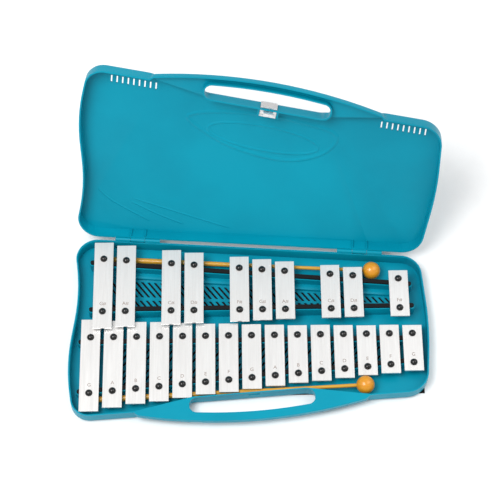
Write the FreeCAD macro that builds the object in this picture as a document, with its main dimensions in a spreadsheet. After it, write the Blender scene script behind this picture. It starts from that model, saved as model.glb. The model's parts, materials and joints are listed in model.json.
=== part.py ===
import FreeCAD, Part
import math
import os

import Sketcher

from FreeCAD import Placement, Rotation, Vector

# ---------------------------------------------------------------------------
# A 25-note glockenspiel in a hinged carrying case, standing open.
# X runs along the two rows of bars from the low notes to the high ones, Y runs
# from the player to the hinge, Z is up. The origin is on the underside of the
# base, below the middle of the instrument. Millimetres throughout.
# ---------------------------------------------------------------------------

SIZES = {
    # bars
    "bar_wide": 24.5, "bar_thick": 2.5, "bar_longest": 127.0, "bar_hole": 2.7,
    "bar_pitch": 29.3, "natural_under": 14.5, "sharp_under": 21.5,
    "inner_pins": 16.6, "outer_pins": 75.4, "outer_pins_slope": 0.0895,
    # rails and pins
    "strip_wide": 5.5, "strip_thick": 3.0, "strip_inset": 4.75, "ridge_wide": 8.0,
    "post_radius": 2.4, "pin_radius": 1.5, "pin_head_radius": 4.6, "pin_head_high": 3.4,
    "sleeve_radius": 2.5, "sleeve_flange_radius": 4.2, "sleeve_flange_thick": 0.6,
    "fit": 0.05,
    # case
    "shell_deep": 20.0, "wall": 2.0, "floor": 2.2, "rim_gap": 0.3, "edge_round": 5.5,
    "handle_deep": 10.0, "handle_round": 4.0, "rim_step": 1.2, "rim_step_deep": 1.0,
    "back_y": 108.3, "back_slope": -0.0743, "front_y": -112.6, "front_slope": 0.066,
    "slot_y": -98.0, "slot_slope": 0.0733, "slot_half": 79.0, "notch_x": 148.0,
    # hinge
    "hinge_offset": 2.2, "knuckle_radius": 2.8, "knuckle_clear": 3.2,
    "hinge_pin_radius": 1.0, "open_angle": 116.8, "hinge_x_left": -147.0,
    "hinge_x_right": 142.0, "knuckle_long": 19.5, "block_long": 18.5,
    # latch
    "latch_x": 2.6, "latch_wide": 21.0, "hook_wide": 12.0, "latch_thick": 1.6,
    "latch_pivot_in": 8.0, "latch_pivot_up": 4.5, "latch_pin_radius": 0.8,
    "latch_swing": 10.0,
    # mallets
    "head_radius": 11.5, "stick_long": 341.0, "stick_tip_radius": 2.3,
    "stick_butt_radius": 3.7, "stick_slim_long": 112.0, "stick_thick_from": 290.0,
}

NATURALS = [("g5", 0), ("a5", 2), ("b5", 4), ("c6", 5), ("d6", 7), ("e6", 9), ("f6", 10),
            ("g6", 12), ("a6", 14), ("b6", 16), ("c7", 17), ("d7", 19), ("e7", 21),
            ("f7", 22), ("g7", 24)]
SHARPS = [("g5_sharp", 1), ("a5_sharp", 3), ("c6_sharp", 6), ("d6_sharp", 8),
          ("f6_sharp", 11), ("g6_sharp", 13), ("a6_sharp", 15), ("c7_sharp", 18),
          ("d7_sharp", 20), ("f7_sharp", 23)]
SHARP_PLACES = [0.5, 1.5, 3.5, 4.5, 6.5, 7.5, 8.5, 10.5, 11.5, 13.5]
MIDDLE_PLACE = 7

doc = FreeCAD.newDocument("glockenspiel")
sheet = doc.addObject("Spreadsheet::Sheet", "sizes")
for row, (name, value) in enumerate(SIZES.items(), start=1):
    sheet.set("A%d" % row, name)
    sheet.set("B%d" % row, str(value))
    sheet.setAlias("B%d" % row, name)
doc.recompute()


def size(name):
    return float(sheet.get(name))


def bind(obj, prop, formula):
    """Drive a property from the sheet; words in the formula are its aliases."""
    obj.setExpression(prop, formula.replace("$", "sizes."))


# ---------------------------------------------------------------------------
# Plan geometry: closed loops of corner points, each with its own radius
# ---------------------------------------------------------------------------

def rounded(points):
    """Lines and arcs of a closed loop; each point is (x, y, corner radius)."""
    count = len(points)
    ends = []
    pieces = []
    for i, (x, y, radius) in enumerate(points):
        here = Vector(x, y, 0)
        before = (Vector(*points[i - 1][:2], 0) - here).normalize()
        after = (Vector(*points[(i + 1) % count][:2], 0) - here).normalize()
        half = before.getAngle(after) / 2
        reach = radius / math.tan(half)
        bisector = (before + after).normalize()
        middle = here + bisector * (radius / math.sin(half) - radius)
        start, stop = here + before * reach, here + after * reach
        ends.append((start, stop))
        pieces.append(Part.Arc(start, middle, stop))
    for i in range(count):
        pieces.append(Part.LineSegment(ends[i - 1][1], ends[i][0]))
    return pieces


def inset(points, distance):
    """The same loop, counter-clockwise, moved inwards (outwards if negative)."""
    count = len(points)
    moved = []
    for i, (x, y, radius) in enumerate(points):
        here = Vector(x, y, 0)
        along = (here - Vector(*points[i - 1][:2], 0)).normalize()
        onward = (Vector(*points[(i + 1) % count][:2], 0) - here).normalize()
        left = Vector(-along.y, along.x, 0)
        left_on = Vector(-onward.y, onward.x, 0)
        spread = (left + left_on) * (distance / (1 + left.dot(left_on)))
        turn = along.x * onward.y - along.y * onward.x
        new_radius = radius - distance if turn > 0 else radius + distance
        moved.append((x + spread.x, y + spread.y, max(new_radius, 0.2)))
    return moved


def strip_loop(x_from, x_to, line, wide):
    """A straight strip with round ends, centred on y = line(x)."""
    slope = math.atan2(line(x_to) - line(x_from), x_to - x_from)
    dx, dy = -math.sin(slope) * wide / 2, math.cos(slope) * wide / 2
    radius = wide / 2 - 0.01
    return [(x_from - dx, line(x_from) - dy, radius), (x_to - dx, line(x_to) - dy, radius),
            (x_to + dx, line(x_to) + dy, radius), (x_from + dx, line(x_from) + dy, radius)]


def back(x):
    return size("back_y") + size("back_slope") * x


def front(x):
    return size("front_y") + size("front_slope") * x


def slot_edge(x):
    return size("slot_y") + size("slot_slope") * x


def natural_outer(x):
    return -size("outer_pins") + size("outer_pins_slope") * x


def sharp_outer(x):
    return size("outer_pins") - size("outer_pins_slope") * x


def body_loop():
    """Plan of the case without its handle: waisted left side, bulging right side."""
    notch = size("notch_x")
    return [(219.5, back(219.5), 28), (-230.9, back(-230.9), 27),
            (-220.3, 46.3, 284), (-235.3, -56.6, 273),
            (-224.6, front(-224.6), 24), (-notch, front(-notch), 30),
            (-74, slot_edge(-74), 20), (67, slot_edge(67), 20),
            (notch, front(notch), 30), (221.2, front(221.2), 30), (227.7, -6.2, 460)]


def handle_loop():
    """Plan of the bowed handle, reaching back into the case."""
    end = 143.5
    return [(-151, front(-151) + 3, 0.5), (-end, front(-end) - 4.2, 8),
            (0, front(0) - 36.8, 620), (end, front(end) - 4.2, 8),
            (151, front(151) + 3, 0.5), (130, -85, 0.5), (-130, -85, 0.5)]


def slot_loop():
    """Plan of the finger slot: straight towards the bars, bowed towards the hand."""
    half, end_round = size("slot_half"), 9.6
    return [(half, slot_edge(half), end_round), (-half, slot_edge(-half), end_round),
            (-half, front(-half) - 5.0, end_round), (0, front(0) - 13.0, 620),
            (half, front(half) - 5.0, end_round)]


# ---------------------------------------------------------------------------
# Helpers for PartDesign bodies
# ---------------------------------------------------------------------------

def new_body(label):
    body = doc.addObject("PartDesign::Body", label)
    body.Label = label
    return body


def plane(body, role):
    return next(f for f in body.Origin.OriginFeatures if f.Role == role)


def sketch_on(body, name, role="XY_Plane", height=None):
    """A sketch on one of the body's origin planes, lifted by a formula if given."""
    sketch = body.newObject("Sketcher::SketchObject", name)
    sketch.AttachmentSupport = (plane(body, role), [""])
    sketch.MapMode = "FlatFace"
    if height is not None:
        bind(sketch, "AttachmentOffset.Base.z", height)
    return sketch


def plan_sketch(body, name, height, loops):
    sketch = sketch_on(body, name, height=height)
    for loop in loops:
        sketch.addGeometry(rounded(loop))
    return sketch


def circle_sketch(body, name, height, centres, radius):
    sketch = sketch_on(body, name, height=height)
    sketch.addGeometry([Part.Circle(Vector(x, y, 0), Vector(0, 0, 1), radius)
                        for x, y in centres])
    return sketch


def pad(body, sketch, length, midplane=False):
    feature = body.newObject("PartDesign::Pad", sketch.Name + "_pad")
    feature.Profile = sketch
    feature.Refine = False
    feature.Midplane = midplane
    bind(feature, "Length", length)
    return feature


def pocket(body, sketch, length, upwards=False, midplane=False):
    """Cut down from the sketch, or up, and make sure that material has gone."""
    doc.recompute()
    before = body.Shape.Volume
    feature = body.newObject("PartDesign::Pocket", sketch.Name + "_cut")
    feature.Profile = sketch
    feature.Refine = False
    feature.Reversed = upwards
    feature.Midplane = midplane
    bind(feature, "Length", length)
    doc.recompute()
    if feature.Shape.Volume > before - 0.1:
        raise RuntimeError("%s cut nothing" % feature.Name)
    return feature


def fillet_at(body, base, height, radius, bow_only=False):
    """Round the edges that lie in one level plane, all round or on the bow alone."""
    doc.recompute()
    names = []
    for index, edge in enumerate(base.Shape.Edges, start=1):
        box = edge.BoundBox
        level = abs(box.ZMin - height) < 1e-4 and abs(box.ZMax - height) < 1e-4
        centre = box.Center
        on_bow = centre.y < front(centre.x) - 5
        if level and (on_bow or not bow_only):
            names.append("Edge%d" % index)
    feature = body.newObject("PartDesign::Fillet", base.Name + "_round")
    feature.Base = (base, names)
    bind(feature, "Radius", radius)
    return feature


def primitive(body, kind, name, placement, **lengths):
    """An additive or subtractive cylinder or box of the body."""
    feature = body.newObject("PartDesign::" + kind, name)
    feature.Placement = placement
    feature.Refine = False
    for prop, formula in lengths.items():
        bind(feature, prop, formula)
    return feature


# ---------------------------------------------------------------------------
# Directions: the hinge line, and the latch beside the finger slot
# ---------------------------------------------------------------------------

RIM = size("shell_deep")
LID_RIM = RIM + size("rim_gap")
BACK_TURN = math.degrees(math.atan(size("back_slope")))
SLOT_TURN = math.degrees(math.atan(size("slot_slope")))
HINGE_DIRECTION = Vector(math.cos(math.radians(BACK_TURN)),
                         math.sin(math.radians(BACK_TURN)), 0)
HINGE_POINT = Vector(0, back(0) + size("hinge_offset") / HINGE_DIRECTION.x,
                     RIM + size("rim_gap") / 2)


def hinge_at(x):
    return HINGE_POINT + HINGE_DIRECTION * (x / HINGE_DIRECTION.x)


def about(point, direction, degrees):
    return Placement(Vector(0, 0, 0), Rotation(direction, degrees), point)


# The lid is drawn shut and stands open: it turns back about the hinge line.
LID_PLACE = about(HINGE_POINT, HINGE_DIRECTION, -size("open_angle"))

# The latch is drawn hooked in the shut case: X along the slot, Y in towards the
# bars, Z up from the rim. It rests released, swung back about its own pin.
LATCH_FRAME = Placement(Vector(size("latch_x"), slot_edge(size("latch_x")), RIM),
                        Rotation(Vector(0, 0, 1), SLOT_TURN))
LATCH_PIVOT = Vector(0, size("latch_pivot_in"), size("latch_pivot_up"))
LATCH_RELEASE = about(LATCH_PIVOT, Vector(1, 0, 0), size("latch_swing"))


def along_hinge(x_middle, long):
    """Placement of a cylinder whose axis is the hinge line, centred at x_middle."""
    start = hinge_at(x_middle) - HINGE_DIRECTION * (long / 2)
    return Placement(start, Rotation(Vector(0, 0, 1), HINGE_DIRECTION))


# ---------------------------------------------------------------------------
# Bars: a flat bar with two holes, one beside each rail
# ---------------------------------------------------------------------------

def place_x(place):
    return (place - MIDDLE_PLACE) * size("bar_pitch")


def make_bar(name, semitone, place, y_inner, y_outer, under):
    """The bar's centre lies midway between its two pins."""
    body = new_body("bar_" + name)
    sketch = sketch_on(body, "plan_" + name)
    half_wide, half_long, half_gap = 12.0, 50.0, 30.0
    corners = [Vector(-half_wide, -half_long, 0), Vector(half_wide, -half_long, 0),
               Vector(half_wide, half_long, 0), Vector(-half_wide, half_long, 0)]
    for i in range(4):
        sketch.addGeometry(Part.LineSegment(corners[i], corners[(i + 1) % 4]))
    for y in (-half_gap, half_gap):
        sketch.addGeometry(Part.Circle(Vector(0, y, 0), Vector(0, 0, 1), size("bar_hole")))
    constrain = sketch.addConstraint
    rule = Sketcher.Constraint
    for i, kind in enumerate(("Horizontal", "Vertical", "Horizontal", "Vertical")):
        constrain(rule("Coincident", i, 2, (i + 1) % 4, 1))
        constrain(rule(kind, i))
    constrain(rule("Symmetric", 0, 1, 2, 1, -1, 1))
    constrain(rule("Symmetric", 4, 3, 5, 3, -1, 1))
    constrain(rule("PointOnObject", 4, 3, -2))
    constrain(rule("Equal", 4, 5))
    x = place_x(place)
    driven = [
        (rule("DistanceX", 0, 1, 0, 2, 2 * half_wide), "$bar_wide"),
        (rule("DistanceY", 1, 1, 1, 2, 2 * half_long), "$bar_longest / 2 ^ (%d / 24)" % semitone),
        (rule("Radius", 4, size("bar_hole")), "$bar_hole"),
        (rule("DistanceY", 4, 3, 5, 3, 2 * half_gap),
         "$outer_pins - $inner_pins - $outer_pins_slope * (%g)" % x),
    ]
    for one, formula in driven:
        bind(sketch, "Constraints[%d]" % constrain(one), formula)
    pad(body, sketch, "$bar_thick")
    body.Placement = Placement(Vector(x, (y_inner + y_outer) / 2, under), Rotation())
    return body


inner = size("inner_pins")
natural_pins = []
sharp_pins = []
for place, (name, semitone) in enumerate(NATURALS):
    y_outer = natural_outer(place_x(place))
    make_bar(name, semitone, place, -inner, y_outer, size("natural_under"))
    natural_pins += [(place_x(place), -inner), (place_x(place), y_outer)]
for place, (name, semitone) in zip(SHARP_PLACES, SHARPS):
    y_outer = sharp_outer(place_x(place))
    make_bar(name, semitone, place, inner, y_outer, size("sharp_under"))
    sharp_pins += [(place_x(place), inner), (place_x(place), y_outer)]

# ---------------------------------------------------------------------------
# Rail strips: four soft strips that carry the bars, on ridges of the base
# ---------------------------------------------------------------------------

INSET = size("strip_inset")
STRIPS = {
    "rail_strip_natural_front": (-221, 218, lambda x: natural_outer(x) + INSET, "natural"),
    "rail_strip_natural_back": (-221, 218, lambda x: -inner - INSET, "natural"),
    "rail_strip_sharp_front": (-208, 209, lambda x: inner + INSET, "sharp"),
    "rail_strip_sharp_back": (-208, 207, lambda x: sharp_outer(x) - INSET, "sharp"),
}
for label, (x_from, x_to, line, kind) in STRIPS.items():
    body = new_body(label)
    loop = strip_loop(x_from, x_to, line, size("strip_wide"))
    sketch = plan_sketch(body, "plan_" + label, "$%s_under - $strip_thick" % kind, [loop])
    pad(body, sketch, "$strip_thick")

# ---------------------------------------------------------------------------
# Pins and their sleeves: two through every bar, one node for each row
# ---------------------------------------------------------------------------

def turned(profile):
    """A solid of revolution about Z from (radius, height) points."""
    wire = Part.makePolygon([Vector(r, 0, z) for r, z in profile + profile[:1]])
    return Part.Face(wire).revolve(Vector(0, 0, 0), Vector(0, 0, 1), 360)


def dome_pin(shank_long):
    """A pin whose head is a shallow dome, origin under the head."""
    radius, high = size("pin_head_radius"), size("pin_head_high")
    ball = (radius ** 2 + high ** 2) / (2 * high)
    cap = Part.makeSphere(ball, Vector(0, 0, high - ball))
    cap = cap.common(Part.makeBox(20, 20, high, Vector(-10, -10, 0)))
    shank = Part.makeCylinder(size("pin_radius"), shank_long, Vector(0, 0, -shank_long))
    return cap.fuse(shank).removeSplitter()


def copies(label, shape, places, height):
    feature = doc.addObject("Part::Feature", label)
    feature.Label = label
    feature.Shape = Part.makeCompound([shape.translated(Vector(x, y, height))
                                       for x, y in places])
    return feature


flange = size("sleeve_flange_thick")
through = size("bar_thick") + flange
sleeve_bore = size("pin_radius") + size("fit")
sleeve = turned([(sleeve_bore, -through), (size("sleeve_radius"), -through),
                 (size("sleeve_radius"), -flange), (size("sleeve_flange_radius"), -flange),
                 (size("sleeve_flange_radius"), 0), (sleeve_bore, 0)])
PIN_FOOT = 4.0
for row_name, pins in (("natural", natural_pins), ("sharp", sharp_pins)):
    seat = size(row_name + "_under") + through
    copies(row_name + "_bar_pins", dome_pin(seat - PIN_FOOT), pins, seat)
    copies(row_name + "_pin_sleeves", sleeve, pins, seat)

# ---------------------------------------------------------------------------
# Mallets: a wooden head on a tapering stick, lying in the base under the bars
# ---------------------------------------------------------------------------

MALLETS = {"front": (Vector(142.7, -86.1, 0), -0.036), "back": (Vector(156.8, 75.4, 0), 0.074)}


def stick_radius(distance):
    """Radius of a stick at a distance from the middle of its head."""
    slim, thick = size("stick_slim_long"), size("stick_thick_from")
    share = min(max((distance - slim) / (thick - slim), 0), 1)
    return size("stick_tip_radius") + share * (size("stick_butt_radius")
                                               - size("stick_tip_radius"))


def mallet_place(name):
    """Local X runs from the middle of the head down to the butt of the stick."""
    spot, slope = MALLETS[name]
    spot = spot + Vector(0, 0, size("floor") + size("head_radius"))
    drop = size("head_radius") - size("stick_butt_radius")
    long = size("stick_long")
    level = math.sqrt(long ** 2 - drop ** 2)
    across = Vector(-1, slope, 0).normalize() * level
    return Placement(spot, Rotation(Vector(1, 0, 0), across + Vector(0, 0, -drop)))


for name in MALLETS:
    stick = new_body("mallet_%s_stick" % name)
    sketch = sketch_on(stick, "profile_" + name, role="XZ_Plane")
    nose = 2.0
    tip, butt = size("stick_tip_radius"), size("stick_butt_radius")
    long = size("stick_long")
    outline = [(-5, 0), (-5, tip), (size("stick_slim_long"), tip),
               (size("stick_thick_from"), butt), (long - nose, butt), (long, butt - nose),
               (long, 0)]
    points = [Vector(x, y, 0) for x, y in outline]
    for i, point in enumerate(points):
        sketch.addGeometry(Part.LineSegment(point, points[(i + 1) % len(points)]))
    turn = stick.newObject("PartDesign::Revolution", "turn_" + name)
    turn.Profile = sketch
    turn.ReferenceAxis = (sketch, ["H_Axis"])
    turn.Angle = 360
    stick.Placement = mallet_place(name)

    ball = doc.addObject("Part::Sphere", "ball_" + name)
    bind(ball, "Radius", "$head_radius")
    socket = doc.addObject("Part::Cylinder", "socket_" + name)
    bind(socket, "Radius", "$stick_tip_radius + 0.02")
    bind(socket, "Height", "$head_radius + 6")
    socket.Placement = Placement(Vector(-5.5, 0, 0), Rotation(Vector(0, 1, 0), 90))
    head = doc.addObject("Part::Cut", "mallet_%s_head" % name)
    head.Label = "mallet_%s_head" % name
    head.Base, head.Tool = ball, socket
    head.Placement = mallet_place(name)

# ---------------------------------------------------------------------------
# Base of the case: a tray with ridges and posts for the bars, and the handle
# ---------------------------------------------------------------------------

base = new_body("case_base")
body_plan = body_loop()
shell = pad(base, plan_sketch(base, "base_outline", None, [body_plan]), "$shell_deep")
fillet_at(base, shell, 0, "$edge_round")
grip = pad(base, plan_sketch(base, "base_handle", "$shell_deep - $handle_deep",
                             [handle_loop()]), "$handle_deep")
fillet_at(base, grip, RIM - size("handle_deep"), "$handle_round", bow_only=True)
pocket(base, plan_sketch(base, "base_slot", "$shell_deep", [slot_loop()]), "$shell_deep")
inner_plan = inset(body_plan, size("wall"))
pocket(base, plan_sketch(base, "base_cavity", "$shell_deep", [inner_plan]),
       "$shell_deep - $floor")
step_plan = inset(body_plan, size("rim_step"))
pocket(base, plan_sketch(base, "base_rim_step", "$shell_deep", [step_plan]),
       "$rim_step_deep")


# ---------------------------------------------------------------------------
# Hinges: two knuckles on the base and one block on the lid share each pin
# ---------------------------------------------------------------------------

HINGES = {"left": size("hinge_x_left"), "right": size("hinge_x_right")}
LEVEL_BACK = Rotation(Vector(0, 0, 1), BACK_TURN)
KNUCKLE_GAP = 0.4


def hinge_box(x_middle, long, y_from, z_from):
    """Placement of a box with X along the hinge, measured from the hinge line."""
    corner = LEVEL_BACK.multVec(Vector(-long / 2, y_from, z_from))
    return Placement(hinge_at(x_middle) + corner, LEVEL_BACK)


def knuckle_middles(x_hinge):
    away = (size("knuckle_long") + size("block_long")) / 2 + KNUCKLE_GAP
    return x_hinge - away, x_hinge + away


for name, x_hinge in HINGES.items():
    for end, x in zip("ab", knuckle_middles(x_hinge)):
        web = hinge_box(x, size("knuckle_long"), -3.4, -6.0)
        primitive(base, "AdditiveBox", "base_web_%s_%s" % (name, end), web,
                  Length="$knuckle_long", Width="3.4 mm", Height="6 mm")
        primitive(base, "AdditiveCylinder", "base_knuckle_%s_%s" % (name, end),
                  along_hinge(x, size("knuckle_long")),
                  Radius="$knuckle_radius", Height="$knuckle_long")
    space = size("block_long") + 2 * KNUCKLE_GAP
    primitive(base, "SubtractiveCylinder", "base_block_space_" + name,
              along_hinge(x_hinge, space),
              Radius="$knuckle_clear", Height="$block_long + %g" % (2 * KNUCKLE_GAP))
    total = size("block_long") + 2 * (size("knuckle_long") + KNUCKLE_GAP)
    primitive(base, "SubtractiveCylinder", "base_pin_bore_" + name,
              along_hinge(x_hinge, total + 2),
              Radius="$hinge_pin_radius + 0.02", Height="%g mm" % (total + 2))
    pin = doc.addObject("Part::Cylinder", "hinge_pin_" + name)
    pin.Label = "hinge_pin_" + name
    bind(pin, "Radius", "$hinge_pin_radius")
    bind(pin, "Height", "%g mm" % (total - 1))
    pin.Placement = along_hinge(x_hinge, total - 1)

# the window that the latch's hook catches under
window = LATCH_FRAME.multiply(Placement(Vector(-size("hook_wide") / 2 - 0.6, -1, -6.6),
                                        Rotation()))
primitive(base, "SubtractiveBox", "hook_window", window,
          Length="$hook_wide + 1.2", Width="$wall + 2", Height="3.2 mm")

# ---------------------------------------------------------------------------
# Floor of the base: ridges under the strips, posts round the pins, a low step
# ---------------------------------------------------------------------------

for label, (x_from, x_to, line, kind) in STRIPS.items():
    ridge = strip_loop(x_from - 1, x_to + 1, line, size("ridge_wide"))
    pad(base, plan_sketch(base, label.replace("rail_strip", "ridge"), "$floor", [ridge]),
        "$%s_under - $strip_thick - $floor" % kind)
for kind, pins in (("natural", natural_pins), ("sharp", sharp_pins)):
    pad(base, circle_sketch(base, kind + "_posts", "$floor", pins, size("post_radius")),
        "$%s_under - $strip_thick - $floor" % kind)


def ledge_line(x):
    return sharp_outer(x) - INSET - size("ridge_wide") / 2 - 3.5


ledge = strip_loop(-200, 203, ledge_line, 8.0)
pad(base, plan_sketch(base, "back_ledge", "$floor", [ledge]), "4.5 mm")

# posts that keep each stick in its place
STICK_POST_RADIUS, STICK_CLEAR = 1.6, 0.4
stick_posts = []
for name in MALLETS:
    place = mallet_place(name)
    along = place.Rotation.multVec(Vector(1, 0, 0))
    square = Vector(-along.y, along.x, 0).normalize()
    for distance in (150, 262):
        on_axis = place.multVec(Vector(distance, 0, 0))
        reach = stick_radius(distance) + STICK_CLEAR + STICK_POST_RADIUS
        for side in (-reach, reach):
            stick_posts.append((on_axis.x + square.x * side, on_axis.y + square.y * side))
pad(base, circle_sketch(base, "stick_posts", "$floor", stick_posts, STICK_POST_RADIUS),
    "10 mm")

for kind, pins in (("natural", natural_pins), ("sharp", sharp_pins)):
    holes = circle_sketch(base, kind + "_post_holes", "$%s_under - $strip_thick" % kind,
                          pins, size("pin_radius") + 0.02)
    pocket(base, holes, "$%s_under - $strip_thick - %g" % (kind, PIN_FOOT - 0.2))

# slanting sound slots through the floor, in two bands under each row of bars
SLOT_PITCH, SLOT_WIDE, SLOT_LEAN = 8.0, 3.4, 0.78


def sound_slots(low, high, lean, x_from, x_to):
    """Leaning slots whose ends follow two lines across the floor."""
    loops = []
    for i in range(int((x_to - x_from) / SLOT_PITCH) + 1):
        x = x_from + i * SLOT_PITCH
        drift = lean * (high(x) - low(x))
        loops.append([(x - SLOT_WIDE / 2, low(x), 0.4), (x + SLOT_WIDE / 2, low(x), 0.4),
                      (x + drift + SLOT_WIDE / 2, high(x), 0.4),
                      (x + drift - SLOT_WIDE / 2, high(x), 0.4)])
    return loops


def between(line_a, line_b, share):
    return lambda x: line_a(x) + share * (line_b(x) - line_a(x))


def sharp_low(x):
    return inner + INSET + size("ridge_wide") / 2 + 2


def sharp_high(x):
    return ledge_line(x) - 5.5


def natural_low(x):
    return natural_outer(x) + INSET + size("ridge_wide") / 2 + 2


def natural_high(x):
    return -inner - INSET - size("ridge_wide") / 2 - 2


bands = []
for low, high, lean, split in ((sharp_low, sharp_high, -SLOT_LEAN, 0.40),
                               (natural_low, natural_high, SLOT_LEAN, 0.5)):
    bands += sound_slots(between(low, high, 0.0), between(low, high, split - 0.05),
                         lean, -180, 180)
    bands += sound_slots(between(low, high, split + 0.05), between(low, high, 1.0),
                         lean, -180, 180)
pocket(base, plan_sketch(base, "sound_slots", "$floor", bands), "$floor")

# ---------------------------------------------------------------------------
# Lid: drawn shut over the base, opening upwards
# ---------------------------------------------------------------------------

LID_BASE = "$shell_deep + $rim_gap"
lid = new_body("case_lid")
shell = pad(lid, plan_sketch(lid, "lid_outline", LID_BASE, [body_plan]), "$shell_deep")
fillet_at(lid, shell, LID_RIM + RIM, "$edge_round")
grip = pad(lid, plan_sketch(lid, "lid_handle", LID_BASE, [handle_loop()]), "$handle_deep")
fillet_at(lid, grip, LID_RIM + size("handle_deep"), "$handle_round", bow_only=True)
pocket(lid, plan_sketch(lid, "lid_slot", LID_BASE, [slot_loop()]), "$shell_deep + 1",
       upwards=True)
pocket(lid, plan_sketch(lid, "lid_cavity", LID_BASE, [inner_plan]), "$shell_deep - $floor",
       upwards=True)
handle_space = inset(handle_loop(), size("wall"))
slot_ring = inset(slot_loop(), -size("wall"))
pocket(lid, plan_sketch(lid, "lid_grip_hollow", LID_BASE, [handle_space, slot_ring]),
       "$handle_deep - $floor", upwards=True)

# nine short vent slits inside each front corner
VENT_PITCH, VENT_HALF, VENT_IN, VENT_LONG = 7.0, 0.9, 14.0, 10.0
vents = []
for x_first in (-196.0, 145.5):
    for i in range(9):
        x = x_first + i * VENT_PITCH
        y = front(x) + VENT_IN
        vents.append([(x - VENT_HALF, y, 0.5), (x + VENT_HALF, y, 0.5),
                      (x + VENT_HALF, y + VENT_LONG, 0.5),
                      (x - VENT_HALF, y + VENT_LONG, 0.5)])
pocket(lid, plan_sketch(lid, "vents", "$shell_deep * 2 + $rim_gap - $floor - 1", vents),
       "$floor + 2", upwards=True)

for name, x_hinge in HINGES.items():
    block = hinge_box(x_hinge, size("block_long"), -3.4, 0)
    primitive(lid, "AdditiveBox", "lid_web_" + name, block,
              Length="$block_long", Width="3.4 mm", Height="7 mm")
    primitive(lid, "AdditiveCylinder", "lid_block_" + name,
              along_hinge(x_hinge, size("block_long")),
              Radius="$knuckle_radius", Height="$block_long")
    for end, x in zip("ab", knuckle_middles(x_hinge)):
        primitive(lid, "SubtractiveCylinder", "lid_knuckle_space_%s_%s" % (name, end),
                  along_hinge(x, size("knuckle_long") + 2 * KNUCKLE_GAP),
                  Radius="$knuckle_clear", Height="$knuckle_long + %g" % (2 * KNUCKLE_GAP))
    primitive(lid, "SubtractiveCylinder", "lid_pin_bore_" + name,
              along_hinge(x_hinge, size("block_long") + 1),
              Radius="$hinge_pin_radius + $fit", Height="$block_long + 1")
    # two stiffening ribs inside the back wall, beside the block
    for side in (-1, 1):
        rib_x = x_hinge + side * size("block_long") / 2
        rib = hinge_box(rib_x, 1.2, -size("hinge_offset") - size("wall") - 2.0, 1.5)
        primitive(lid, "AdditiveBox", "lid_rib_%s_%s" % (name, "ab"[side > 0]), rib,
                  Length="1.2 mm", Width="2.5 mm", Height="$shell_deep - $floor")

# latch: ears for its pin, and the window for its finger plate
EAR_THICK = 2.0
for side in (-1, 1):
    x = side * (size("latch_wide") / 2 + 0.5 + EAR_THICK / 2) - EAR_THICK / 2
    ear = LATCH_FRAME.multiply(Placement(Vector(x, 1.0, 0.9), Rotation()))
    primitive(lid, "AdditiveBox", "ear_%s" % "ab"[side > 0], ear,
              Length="%g mm" % EAR_THICK, Width="$latch_pivot_in + 2", Height="7 mm")
bore_long = size("latch_wide") + 2 * EAR_THICK + 3
bore = LATCH_FRAME.multiply(Placement(LATCH_PIVOT - Vector(bore_long / 2, 0, 0),
                                      Rotation(Vector(0, 0, 1), Vector(1, 0, 0))))
primitive(lid, "SubtractiveCylinder", "latch_bore", bore,
          Radius="$latch_pin_radius + 0.02", Height="%g mm" % bore_long)
window = LATCH_FRAME.multiply(Placement(Vector(-size("latch_wide") / 2 - 0.5, -1, 1.7),
                                        Rotation()))
primitive(lid, "SubtractiveBox", "latch_window", window,
          Length="$latch_wide + 1", Width="$wall + 1.6", Height="4.8 mm")
lid.Placement = LID_PLACE

# ---------------------------------------------------------------------------
# Latch: one bent lever on a steel pin
# ---------------------------------------------------------------------------

latch = new_body("latch_lever")


def side_sketch(name, points):
    """A closed outline in the latch's own side view: Y in, Z up."""
    sketch = sketch_on(latch, name, role="YZ_Plane")
    corners = [Vector(y, z, 0) for y, z in points]
    for i, point in enumerate(corners):
        sketch.addGeometry(Part.LineSegment(point, corners[(i + 1) % len(corners)]))
    return sketch


thick = size("latch_thick")
up = size("latch_pivot_up")
into = size("latch_pivot_in")
plate = [(-0.8 - thick, 3.2), (-0.8, 3.2), (-0.8, up - thick / 2), (into + 5.5, up - thick / 2),
         (into + 5.5, up + thick / 2), (-0.8, up + thick / 2), (-0.8, 14.5),
         (-0.8 - thick, 14.5)]
hook = [(0.9, -5.6), (2.6 + thick, -5.6), (2.6 + thick, up), (2.6, up), (2.6, -4.2),
        (0.9, -4.2)]
pad(latch, side_sketch("plate", plate), "$latch_wide", midplane=True)
pad(latch, side_sketch("hook", hook), "$hook_wide", midplane=True)
barrel = sketch_on(latch, "barrel", role="YZ_Plane")
barrel.addGeometry(Part.Circle(Vector(into, up, 0), Vector(0, 0, 1), 2.3))
pad(latch, barrel, "$latch_wide", midplane=True)
hole = sketch_on(latch, "barrel_hole", role="YZ_Plane")
hole.addGeometry(Part.Circle(Vector(into, up, 0), Vector(0, 0, 1),
                             size("latch_pin_radius") + size("fit")))
pocket(latch, hole, "$latch_wide + 4", midplane=True)
latch.Placement = LID_PLACE.multiply(LATCH_FRAME).multiply(LATCH_RELEASE)

latch_pin = doc.addObject("Part::Cylinder", "latch_pin")
latch_pin.Label = "latch_pin"
bind(latch_pin, "Radius", "$latch_pin_radius")
bind(latch_pin, "Height", "%g mm" % (bore_long - 2))
pin_start = Placement(LATCH_PIVOT - Vector(bore_long / 2 - 1, 0, 0),
                      Rotation(Vector(0, 0, 1), Vector(1, 0, 0)))
latch_pin.Placement = LID_PLACE.multiply(LATCH_FRAME).multiply(pin_start)

# ---------------------------------------------------------------------------
# Check everything, then write one STEP file for each piece
# ---------------------------------------------------------------------------

doc.recompute()
for obj in doc.Objects:
    if "Invalid" in obj.State or "Error" in obj.State:
        raise RuntimeError("%s failed: %s" % (obj.Name, obj.State))

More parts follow.
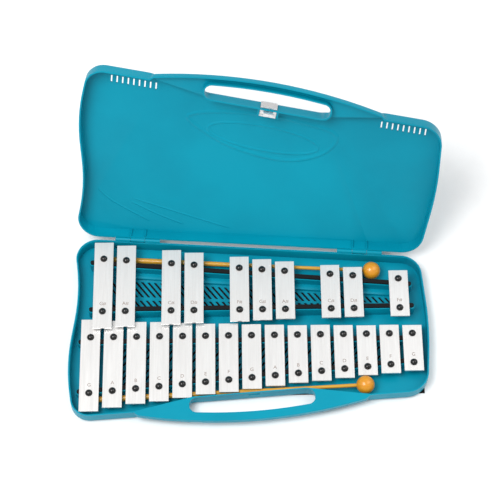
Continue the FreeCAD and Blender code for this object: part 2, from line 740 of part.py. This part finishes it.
HELPERS = ("ball_", "socket_")
parts = [obj for obj in doc.Objects
         if obj.TypeId in ("PartDesign::Body", "Part::Feature", "Part::Cut", "Part::Cylinder")
         and not obj.Name.startswith(HELPERS)]
os.makedirs("parts", exist_ok=True)
for obj in parts:
    shape = obj.Shape
    if shape.isNull() or not shape.isValid():
        raise RuntimeError("%s has no valid shape" % obj.Label)
    shape.exportStep("parts/%s.step" % obj.Label)
    print("%-26s %3d solids %9.1f mm3" % (obj.Label, len(shape.Solids), shape.Volume))
print(len(parts), "parts")
print("hinge point", HINGE_POINT, "direction", HINGE_DIRECTION)
print("latch pivot at rest", LID_PLACE.multiply(LATCH_FRAME).multVec(LATCH_PIVOT))
print("latch direction", LID_PLACE.multiply(LATCH_FRAME).Rotation.multVec(Vector(1, 0, 0)))
for name in MALLETS:
    print("mallet", name, mallet_place(name).Rotation.multVec(Vector(1, 0, 0)))
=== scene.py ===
import json
import math

import bmesh
import bpy
from mathutils import Matrix, Vector


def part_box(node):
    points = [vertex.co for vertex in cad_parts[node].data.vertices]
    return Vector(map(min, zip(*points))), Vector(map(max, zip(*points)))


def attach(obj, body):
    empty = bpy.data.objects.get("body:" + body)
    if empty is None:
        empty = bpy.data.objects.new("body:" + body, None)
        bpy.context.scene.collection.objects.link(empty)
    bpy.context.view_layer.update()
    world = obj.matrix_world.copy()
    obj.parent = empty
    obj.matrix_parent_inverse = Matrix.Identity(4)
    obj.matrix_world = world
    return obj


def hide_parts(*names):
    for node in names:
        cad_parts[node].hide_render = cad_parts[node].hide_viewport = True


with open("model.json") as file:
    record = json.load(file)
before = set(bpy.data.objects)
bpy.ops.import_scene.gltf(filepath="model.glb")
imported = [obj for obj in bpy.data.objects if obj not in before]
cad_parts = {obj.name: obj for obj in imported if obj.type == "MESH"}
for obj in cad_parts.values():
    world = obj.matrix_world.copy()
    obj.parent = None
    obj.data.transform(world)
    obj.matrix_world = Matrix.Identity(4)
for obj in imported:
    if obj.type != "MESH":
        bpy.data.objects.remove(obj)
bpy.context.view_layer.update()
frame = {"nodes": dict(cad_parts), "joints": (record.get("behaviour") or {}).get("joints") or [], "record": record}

# ---------------------------------------------------------------------------
# Looks of a glockenspiel in its hinged case: materials for every CAD node,
# edges finished as the real pieces have them, note letters, moulded relief in
# the lid, and a plain studio. Metres throughout, in the frame of the CAD.
# ---------------------------------------------------------------------------

MM = 0.001
NODES = frame["nodes"]
BODY_OF = {n: body for body, nodes in frame["record"]["behaviour"]["bodies"].items()
           for n in nodes}
SLOT_OF = {row["node"]: row["material_slot"] for row in frame["record"]["subparts"]}
JOINTS = {joint["name"]: joint for joint in frame["joints"]}

# height of the lid's inner panel when the case is shut
LID_PANEL_HEIGHT = 38.1 * MM
# the inner pins of both rows are this far from the X axis
INNER_PIN_Y = 16.6 * MM

scene = bpy.context.scene
scene.view_settings.view_transform = "Standard"


# ---------------------------------------------------------------------------
# Materials
# ---------------------------------------------------------------------------

# most of a noise lies between these values, so they span its useful middle
NOISE_LOW, NOISE_HIGH = 0.3, 0.7
RAMP_LOW, RAMP_HIGH = 0.32, 0.68


class Shader:
    """A Principled material with short calls for procedural detail."""

    def __init__(self, name, roughness, metallic=0.0, coat=0.0, specular=0.5):
        self.material = bpy.data.materials.new(name)
        self.material.use_nodes = True
        self.tree = self.material.node_tree
        self.bsdf = self.tree.nodes["Principled BSDF"]
        self.bsdf.inputs["Roughness"].default_value = roughness
        self.bsdf.inputs["Metallic"].default_value = metallic
        self.bsdf.inputs["Coat Weight"].default_value = coat
        self.bsdf.inputs["Specular IOR Level"].default_value = specular
        self.coords = self.node("ShaderNodeTexCoord").outputs["Object"]
        self.height = None

    def node(self, kind):
        return self.tree.nodes.new(kind)

    def link(self, source, target):
        self.tree.links.new(source, target)

    def noise(self, scale, detail=3.0, stretch=(1, 1, 1)):
        """Noise in the frame's own metres; stretch scales each axis."""
        mapping = self.node("ShaderNodeMapping")
        mapping.inputs["Scale"].default_value = stretch
        noise = self.node("ShaderNodeTexNoise")
        noise.inputs["Scale"].default_value = scale
        noise.inputs["Detail"].default_value = detail
        self.link(self.coords, mapping.inputs["Vector"])
        self.link(mapping.outputs["Vector"], noise.inputs["Vector"])
        return noise.outputs["Fac"]

    def spread(self, value, low, high):
        """Map the middle of a noise to a range."""
        ranged = self.node("ShaderNodeMapRange")
        ranged.inputs["From Min"].default_value = NOISE_LOW
        ranged.inputs["From Max"].default_value = NOISE_HIGH
        ranged.inputs["To Min"].default_value = low
        ranged.inputs["To Max"].default_value = high
        self.link(value, ranged.inputs["Value"])
        return ranged.outputs["Result"]

    def colour(self, value, dark, light):
        """Base colour between two tones."""
        ramp = self.node("ShaderNodeValToRGB")
        ramp.color_ramp.elements[0].position = RAMP_LOW
        ramp.color_ramp.elements[1].position = RAMP_HIGH
        ramp.color_ramp.elements[0].color = (*dark, 1)
        ramp.color_ramp.elements[1].color = (*light, 1)
        self.link(value, ramp.inputs["Fac"])
        self.link(ramp.outputs["Color"], self.bsdf.inputs["Base Color"])

    def rough(self, value, low, high):
        """Roughness between two values."""
        self.link(self.spread(value, low, high), self.bsdf.inputs["Roughness"])

    def bump(self, value, strength, distance):
        """Bumps stack: each one starts from the last."""
        bump = self.node("ShaderNodeBump")
        bump.inputs["Strength"].default_value = strength
        bump.inputs["Distance"].default_value = distance
        self.link(value, bump.inputs["Height"])
        if self.height is not None:
            self.link(self.height, bump.inputs["Normal"])
        self.height = bump.outputs["Normal"]
        self.link(self.height, self.bsdf.inputs["Normal"])


def case_plastic():
    """Teal satin plastic: fine spark-eroded grain over a faint waviness."""
    shader = Shader("case_plastic", 0.4, specular=0.16)
    cloud = shader.noise(9, 4)
    grain = shader.noise(2600, 2)
    shader.colour(cloud, (0.0, 0.238, 0.342), (0.0, 0.278, 0.392))
    shader.rough(shader.noise(60, 4), 0.30, 0.40)
    shader.bump(shader.noise(22, 2), 0.10, 0.0008)
    shader.bump(grain, 0.16, 0.00006)
    return shader.material


def bar_steel():
    """Pale plated steel, brushed along the length of the bar."""
    shader = Shader("bar_steel", 0.3, metallic=0.72)
    streaks = shader.noise(900, 3, stretch=(1, 0.03, 1))
    shader.colour(streaks, (0.860, 0.845, 0.830), (0.915, 0.900, 0.885))
    shader.rough(shader.noise(500, 3, stretch=(1, 0.04, 1)), 0.30, 0.38)
    shader.bump(streaks, 0.05, 0.00002)
    return shader.material


def strip_rubber(name="strip_rubber"):
    """Black felt-like foam rubber."""
    shader = Shader(name, 0.85, specular=0.10)
    fibres = shader.noise(1400, 4)
    shader.colour(fibres, (0.004, 0.004, 0.005), (0.018, 0.018, 0.019))
    shader.bump(fibres, 0.5, 0.0003)
    return shader.material


def pin_black():
    shader = Shader("pin_black", 0.16, coat=0.25, specular=0.35)
    cloud = shader.noise(300, 3)
    shader.colour(cloud, (0.003, 0.003, 0.003), (0.010, 0.009, 0.009))
    shader.rough(shader.noise(700, 3), 0.12, 0.22)
    shader.bump(cloud, 0.05, 0.0001)
    return shader.material


def mallet_yellow(name, dark, light):
    """Lacquered beech, dyed yellow: the grain runs along the stick."""
    shader = Shader(name, 0.35, coat=0.35)
    grain = shader.noise(420, 5, stretch=(0.06, 1, 1))
    shader.colour(grain, dark, light)
    shader.rough(shader.noise(200, 3), 0.28, 0.42)
    shader.bump(grain, 0.10, 0.0001)
    return shader.material


def plain_metal(name, dark, light, roughness):
    shader = Shader(name, roughness, metallic=0.85)
    streaks = shader.noise(1200, 3, stretch=(0.04, 1, 1))
    shader.colour(streaks, dark, light)
    shader.rough(shader.noise(300, 3), roughness - 0.06, roughness + 0.08)
    shader.bump(streaks, 0.08, 0.00004)
    return shader.material


def ink():
    """Thin grey-brown print, worn to a slightly uneven tone."""
    shader = Shader("letter_ink", 0.6)
    shader.colour(shader.noise(900, 4), (0.17, 0.12, 0.10), (0.36, 0.29, 0.25))
    return shader.material


MATERIALS = {
    "case_plastic": case_plastic(),
    "bar_steel": bar_steel(),
    "strip_rubber": strip_rubber(),
    "sleeve_rubber": strip_rubber("sleeve_rubber"),
    "pin_black": pin_black(),
    "mallet_stick": mallet_yellow("mallet_stick", (0.56, 0.27, 0.016), (0.68, 0.35, 0.030)),
    "mallet_head": mallet_yellow("mallet_head", (0.62, 0.24, 0.005), (0.72, 0.30, 0.010)),
    "pin_steel": plain_metal("pin_steel", (0.45, 0.45, 0.46), (0.62, 0.62, 0.63), 0.3),
    "latch_metal": plain_metal("latch_metal", (0.80, 0.79, 0.79), (0.93, 0.92, 0.92), 0.3),
}
INK = ink()


def paint(obj, material):
    obj.data.materials.clear()
    obj.data.materials.append(material)


# ---------------------------------------------------------------------------
# Pieces that stand for CAD nodes: the same shape with its edges finished
# ---------------------------------------------------------------------------

def link_piece(name, mesh, body, slot):
    """A piece that rides on a body and has the look of a material slot."""
    piece = bpy.data.objects.new(name, mesh)
    scene.collection.objects.link(piece)
    paint(piece, MATERIALS[slot])
    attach(piece, body)
    return piece


WELD_DISTANCE = 0.002 * MM
FLAT_ANGLE = math.radians(0.3)
SMOOTH_ANGLE = math.radians(35)
BEVEL_ANGLE = math.radians(50)
BEVEL_SEGMENTS = 2
EDGE_WIDTHS = {"bar_steel": 0.45 * MM, "strip_rubber": 0.5 * MM, "latch_metal": 0.25 * MM,
               "case_plastic": 0.3 * MM}


def finished(node, slot):
    """The node's own shape with welded vertices and softened edges."""
    shape = bmesh.new()
    shape.from_mesh(NODES[node].data)
    bmesh.ops.remove_doubles(shape, verts=shape.verts, dist=WELD_DISTANCE)
    bmesh.ops.dissolve_limit(shape, angle_limit=FLAT_ANGLE, verts=shape.verts,
                             edges=shape.edges)
    mesh = bpy.data.meshes.new(node + "_finished")
    shape.to_mesh(mesh)
    shape.free()
    piece = link_piece(node + "_finished", mesh, BODY_OF[node], slot)
    mesh.shade_smooth()
    mesh.set_sharp_from_angle(angle=SMOOTH_ANGLE)
    bevel = piece.modifiers.new("edges", "BEVEL")
    bevel.width = EDGE_WIDTHS[slot]
    bevel.segments = BEVEL_SEGMENTS
    bevel.limit_method = "ANGLE"
    bevel.angle_limit = BEVEL_ANGLE
    bevel.harden_normals = True
    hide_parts(node)


for node, obj in NODES.items():
    slot = SLOT_OF[node]
    if slot in EDGE_WIDTHS:
        finished(node, slot)
    else:
        paint(obj, MATERIALS[slot])


# ---------------------------------------------------------------------------
# A black sheet inside the floor, which shows through the sound slots as painted shade: it stands in for the shadow
# beneath the case
# ---------------------------------------------------------------------------

# lowest and highest face of the painted-shade sheet, inside the floor's thickness
SHADE_SHEET_LOW, SHADE_SHEET_HIGH = 0.3 * MM, 0.7 * MM


def slot_shade_sheet(row):
    """A thin black sheet of painted shade between the two strips of a row of bars."""
    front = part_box("rail_strip_%s_front" % row)
    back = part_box("rail_strip_%s_back" % row)
    low_y, high_y = front[0].y, back[1].y
    left, right = front[0].x, front[1].x
    shape = bmesh.new()
    bmesh.ops.create_cube(shape, size=1)
    for vert in shape.verts:
        vert.co.x = left if vert.co.x < 0 else right
        vert.co.y = low_y if vert.co.y < 0 else high_y
        vert.co.z = SHADE_SHEET_LOW if vert.co.z < 0 else SHADE_SHEET_HIGH
    mesh = bpy.data.meshes.new("slot_shade_" + row)
    shape.to_mesh(mesh)
    shape.free()
    # the painted shade uses the black rubber of the strips
    link_piece("slot_shade_" + row, mesh, "base", "strip_rubber")


for row in ("natural", "sharp"):
    slot_shade_sheet(row)


# ---------------------------------------------------------------------------
# Note letters on the bars, behind the pin nearest the player
# ---------------------------------------------------------------------------

LETTER_SIZE = 6.6 * MM
LETTER_BEHIND_PIN = 10.8 * MM
INK_THICK = 0.03 * MM


def letter(node):
    """The bar's note name, printed flat on its top face."""
    low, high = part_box(node)
    centre = (low + high) / 2
    sharp = node.endswith("_sharp")
    front_pin = INNER_PIN_Y if sharp else 2 * centre.y + INNER_PIN_Y
    text = bpy.data.curves.new("letter_" + node, "FONT")
    text.body = node.split("_")[1][0].upper() + ("#" if sharp else "")
    text.size = LETTER_SIZE
    text.align_x = "CENTER"
    text.align_y = "CENTER"
    text.extrude = INK_THICK
    piece = bpy.data.objects.new("letter_" + node, text)
    scene.collection.objects.link(piece)
    piece.location = (centre.x, front_pin + LETTER_BEHIND_PIN, high.z)
    text.materials.append(INK)
    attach(piece, "base")


for node in NODES:
    if node.startswith("bar_"):
        letter(node)


# ---------------------------------------------------------------------------
# Moulded relief on the lid's inner panel, laid out in the plan of the shut case
# ---------------------------------------------------------------------------

def lid_opening():
    """From the shut case to the open one, about the hinge."""
    hinge = JOINTS["lid_hinge"]
    point = Matrix.Translation(Vector(hinge["pos_m"]))
    turn = Matrix.Rotation(math.radians(-hinge["range_deg"][1]), 4, Vector(hinge["axis"]))
    return point @ turn @ point.inverted()


def smooth_path(points, closed, steps):
    """Catmull-Rom curve through points given in millimetres."""
    points = [Vector(point) * MM for point in points]
    count = len(points)
    path = []
    for i in range(count if closed else count - 1):
        if closed:
            a, b, c, d = (points[(i + k) % count] for k in (-1, 0, 1, 2))
        else:
            a, b, c, d = (points[min(max(i + k, 0), count - 1)] for k in (-1, 0, 1, 2))
        for step in range(steps):
            t = step / steps
            path.append(0.5 * (2 * b + (c - a) * t + (2 * a - 5 * b + 4 * c - d) * t * t
                               + (3 * b - a - 3 * c + d) * t ** 3))
    if not closed:
        path.append(points[-1])
    return path


# across the ridge in half widths, and its height as a share of the full height
RIDGE_SECTION = [(-1.0, 0.0), (-0.7, 0.35), (-0.35, 0.85), (0.0, 1.0), (0.35, 0.85),
                 (0.7, 0.35), (1.0, 0.0)]
SUNK = 0.02 * MM
# an open ridge rises to its full height over one of this many parts of its length
FADE_PARTS = 6


def ridge(name, path, closed, half_width, high):
    """A soft raised line along a path; open ones fade out at both ends."""
    rows = []
    count = len(path)
    for i, point in enumerate(path):
        if closed:
            along = path[(i + 1) % count] - path[i - 1]
            fade = 1.0
        else:
            along = path[min(i + 1, count - 1)] - path[max(i - 1, 0)]
            nearest_end = min(i, count - 1 - i)
            fade = math.sin(math.pi * min(1, FADE_PARTS * nearest_end / count) / 2)
        across = Vector((-along.y, along.x)).normalized()
        for side, up in RIDGE_SECTION:
            spot = point + across * side * half_width
            rows.append((spot.x, spot.y, LID_PANEL_HEIGHT + SUNK - up * high * fade))
    wide = len(RIDGE_SECTION)
    faces = []
    for i in range(count if closed else count - 1):
        here, onward = i * wide, ((i + 1) % count) * wide
        for k in range(wide - 1):
            faces.append((here + k, here + k + 1, onward + k + 1, onward + k))
    mesh = bpy.data.meshes.new(name)
    mesh.from_pydata(rows, [], faces)
    mesh.transform(lid_opening())
    mesh.shade_smooth()
    link_piece(name, mesh, "lid", "case_plastic")


def oval(centre, long, short, slope, count=72):
    """Points round an ellipse with the given half axes."""
    turn = Matrix.Rotation(math.atan(slope), 2)
    spots = []
    for i in range(count):
        angle = 2 * math.pi * i / count
        spot = Vector((long * math.cos(angle), short * math.sin(angle)))
        spots.append((Vector(centre) + turn @ spot) * MM)
    return spots


# millimetres, in the plan of the shut case
LEAF = [(-97, -64), (-62, -76), (-12, -79), (40, -75), (90, -62), (80, -34), (38, -16.5),
        (-15, -21), (-62, -38)]
LINES = [[(-160.2, 67.9), (-96.2, 82.8), (-28.8, 98)],
         [(-162.5, 72.9), (-128.7, 87.3), (-90, 100)],
         [(-205.1, 58.3), (-184.6, 75.9), (-134.2, 101)]]
LEAF_STEPS, LINE_STEPS = 10, 24
OVAL_CENTRE, OVAL_HALF_LONG, OVAL_HALF_SHORT, OVAL_SLOPE = (0, -45), 71, 18, 0.088
# half width and height of each ridge
OVAL_RIDGE = 2.2 * MM, 0.7 * MM
LEAF_RIDGE = 3.2 * MM, 0.8 * MM
LINE_RIDGE = 1.3 * MM, 0.6 * MM

oval_path = oval(OVAL_CENTRE, OVAL_HALF_LONG, OVAL_HALF_SHORT, OVAL_SLOPE)
ridge("lid_oval", oval_path, True, *OVAL_RIDGE)
ridge("lid_leaf", smooth_path(LEAF, True, LEAF_STEPS), True, *LEAF_RIDGE)
for number, points in enumerate(LINES, start=1):
    line_path = smooth_path(points, False, LINE_STEPS)
    ridge("lid_line_%d" % number, line_path, False, *LINE_RIDGE)


# ---------------------------------------------------------------------------
# Studio: a pale floor, soft light, and the camera above the player's head
# ---------------------------------------------------------------------------

FLOOR_REACH = 6.0
LIGHT_TARGET = (0, 0.1, 0)
WORLD_STRENGTH = 0.62
CAMERA_TILT, CAMERA_ROLL, CAMERA_YAW = -27.99, 0.655, 0.103
CAMERA_TARGET = Vector((-0.41, 106.33, 17.0)) * MM
CAMERA_DISTANCE = 2.3756
CAMERA_LENS, CAMERA_SENSOR = 130.9, 36.0


def floor():
    """A sheet of pale paper, which fills the view of the camera below."""
    mesh = bpy.data.meshes.new("floor")
    corners = [(-1, -1), (1, -1), (1, 1), (-1, 1)]
    mesh.from_pydata([(x * FLOOR_REACH, y * FLOOR_REACH, 0) for x, y in corners], [],
                     [(0, 1, 2, 3)])
    plane = bpy.data.objects.new("floor", mesh)
    scene.collection.objects.link(plane)
    shader = Shader("floor_paper", 0.9)
    shader.colour(shader.noise(40, 3), (0.88, 0.88, 0.88), (0.90, 0.90, 0.90))
    paint(plane, shader.material)


def area_light(name, place, width, watts):
    """A square lamp that faces the instrument."""
    light = bpy.data.lights.new(name, "AREA")
    light.shape = "SQUARE"
    light.size = width
    light.energy = watts
    lamp = bpy.data.objects.new(name, light)
    scene.collection.objects.link(lamp)
    lamp.location = place
    lamp.rotation_mode = "QUATERNION"
    lamp.rotation_quaternion = (Vector(LIGHT_TARGET) - Vector(place)).to_track_quat("-Z", "Y")


def camera():
    """Looks down at 62 degrees from the player's side, from far off."""
    tilt = Matrix.Rotation(math.radians(CAMERA_TILT), 3, "X")
    roll = Matrix.Rotation(math.radians(CAMERA_ROLL), 3, "Z")
    yaw = Matrix.Rotation(math.radians(CAMERA_YAW), 3, "Z")
    facing = (roll @ tilt @ yaw).transposed()
    place = CAMERA_TARGET + facing.col[2] * CAMERA_DISTANCE
    data = bpy.data.cameras.new("camera")
    data.sensor_width = CAMERA_SENSOR
    data.lens = CAMERA_LENS
    eye = bpy.data.objects.new("camera", data)
    scene.collection.objects.link(eye)
    eye.matrix_world = Matrix.Translation(place) @ facing.to_4x4()
    scene.camera = eye


floor()
area_light("key", (-0.9, -0.5, 2.2), 1.2, 44)
area_light("fill", (1.4, 0.3, 1.8), 1.6, 16)
world = bpy.data.worlds.new("studio")
world.use_nodes = True
background = world.node_tree.nodes["Background"]
background.inputs["Color"].default_value = (1, 1, 1, 1)
background.inputs["Strength"].default_value = WORLD_STRENGTH
scene.world = world
camera()
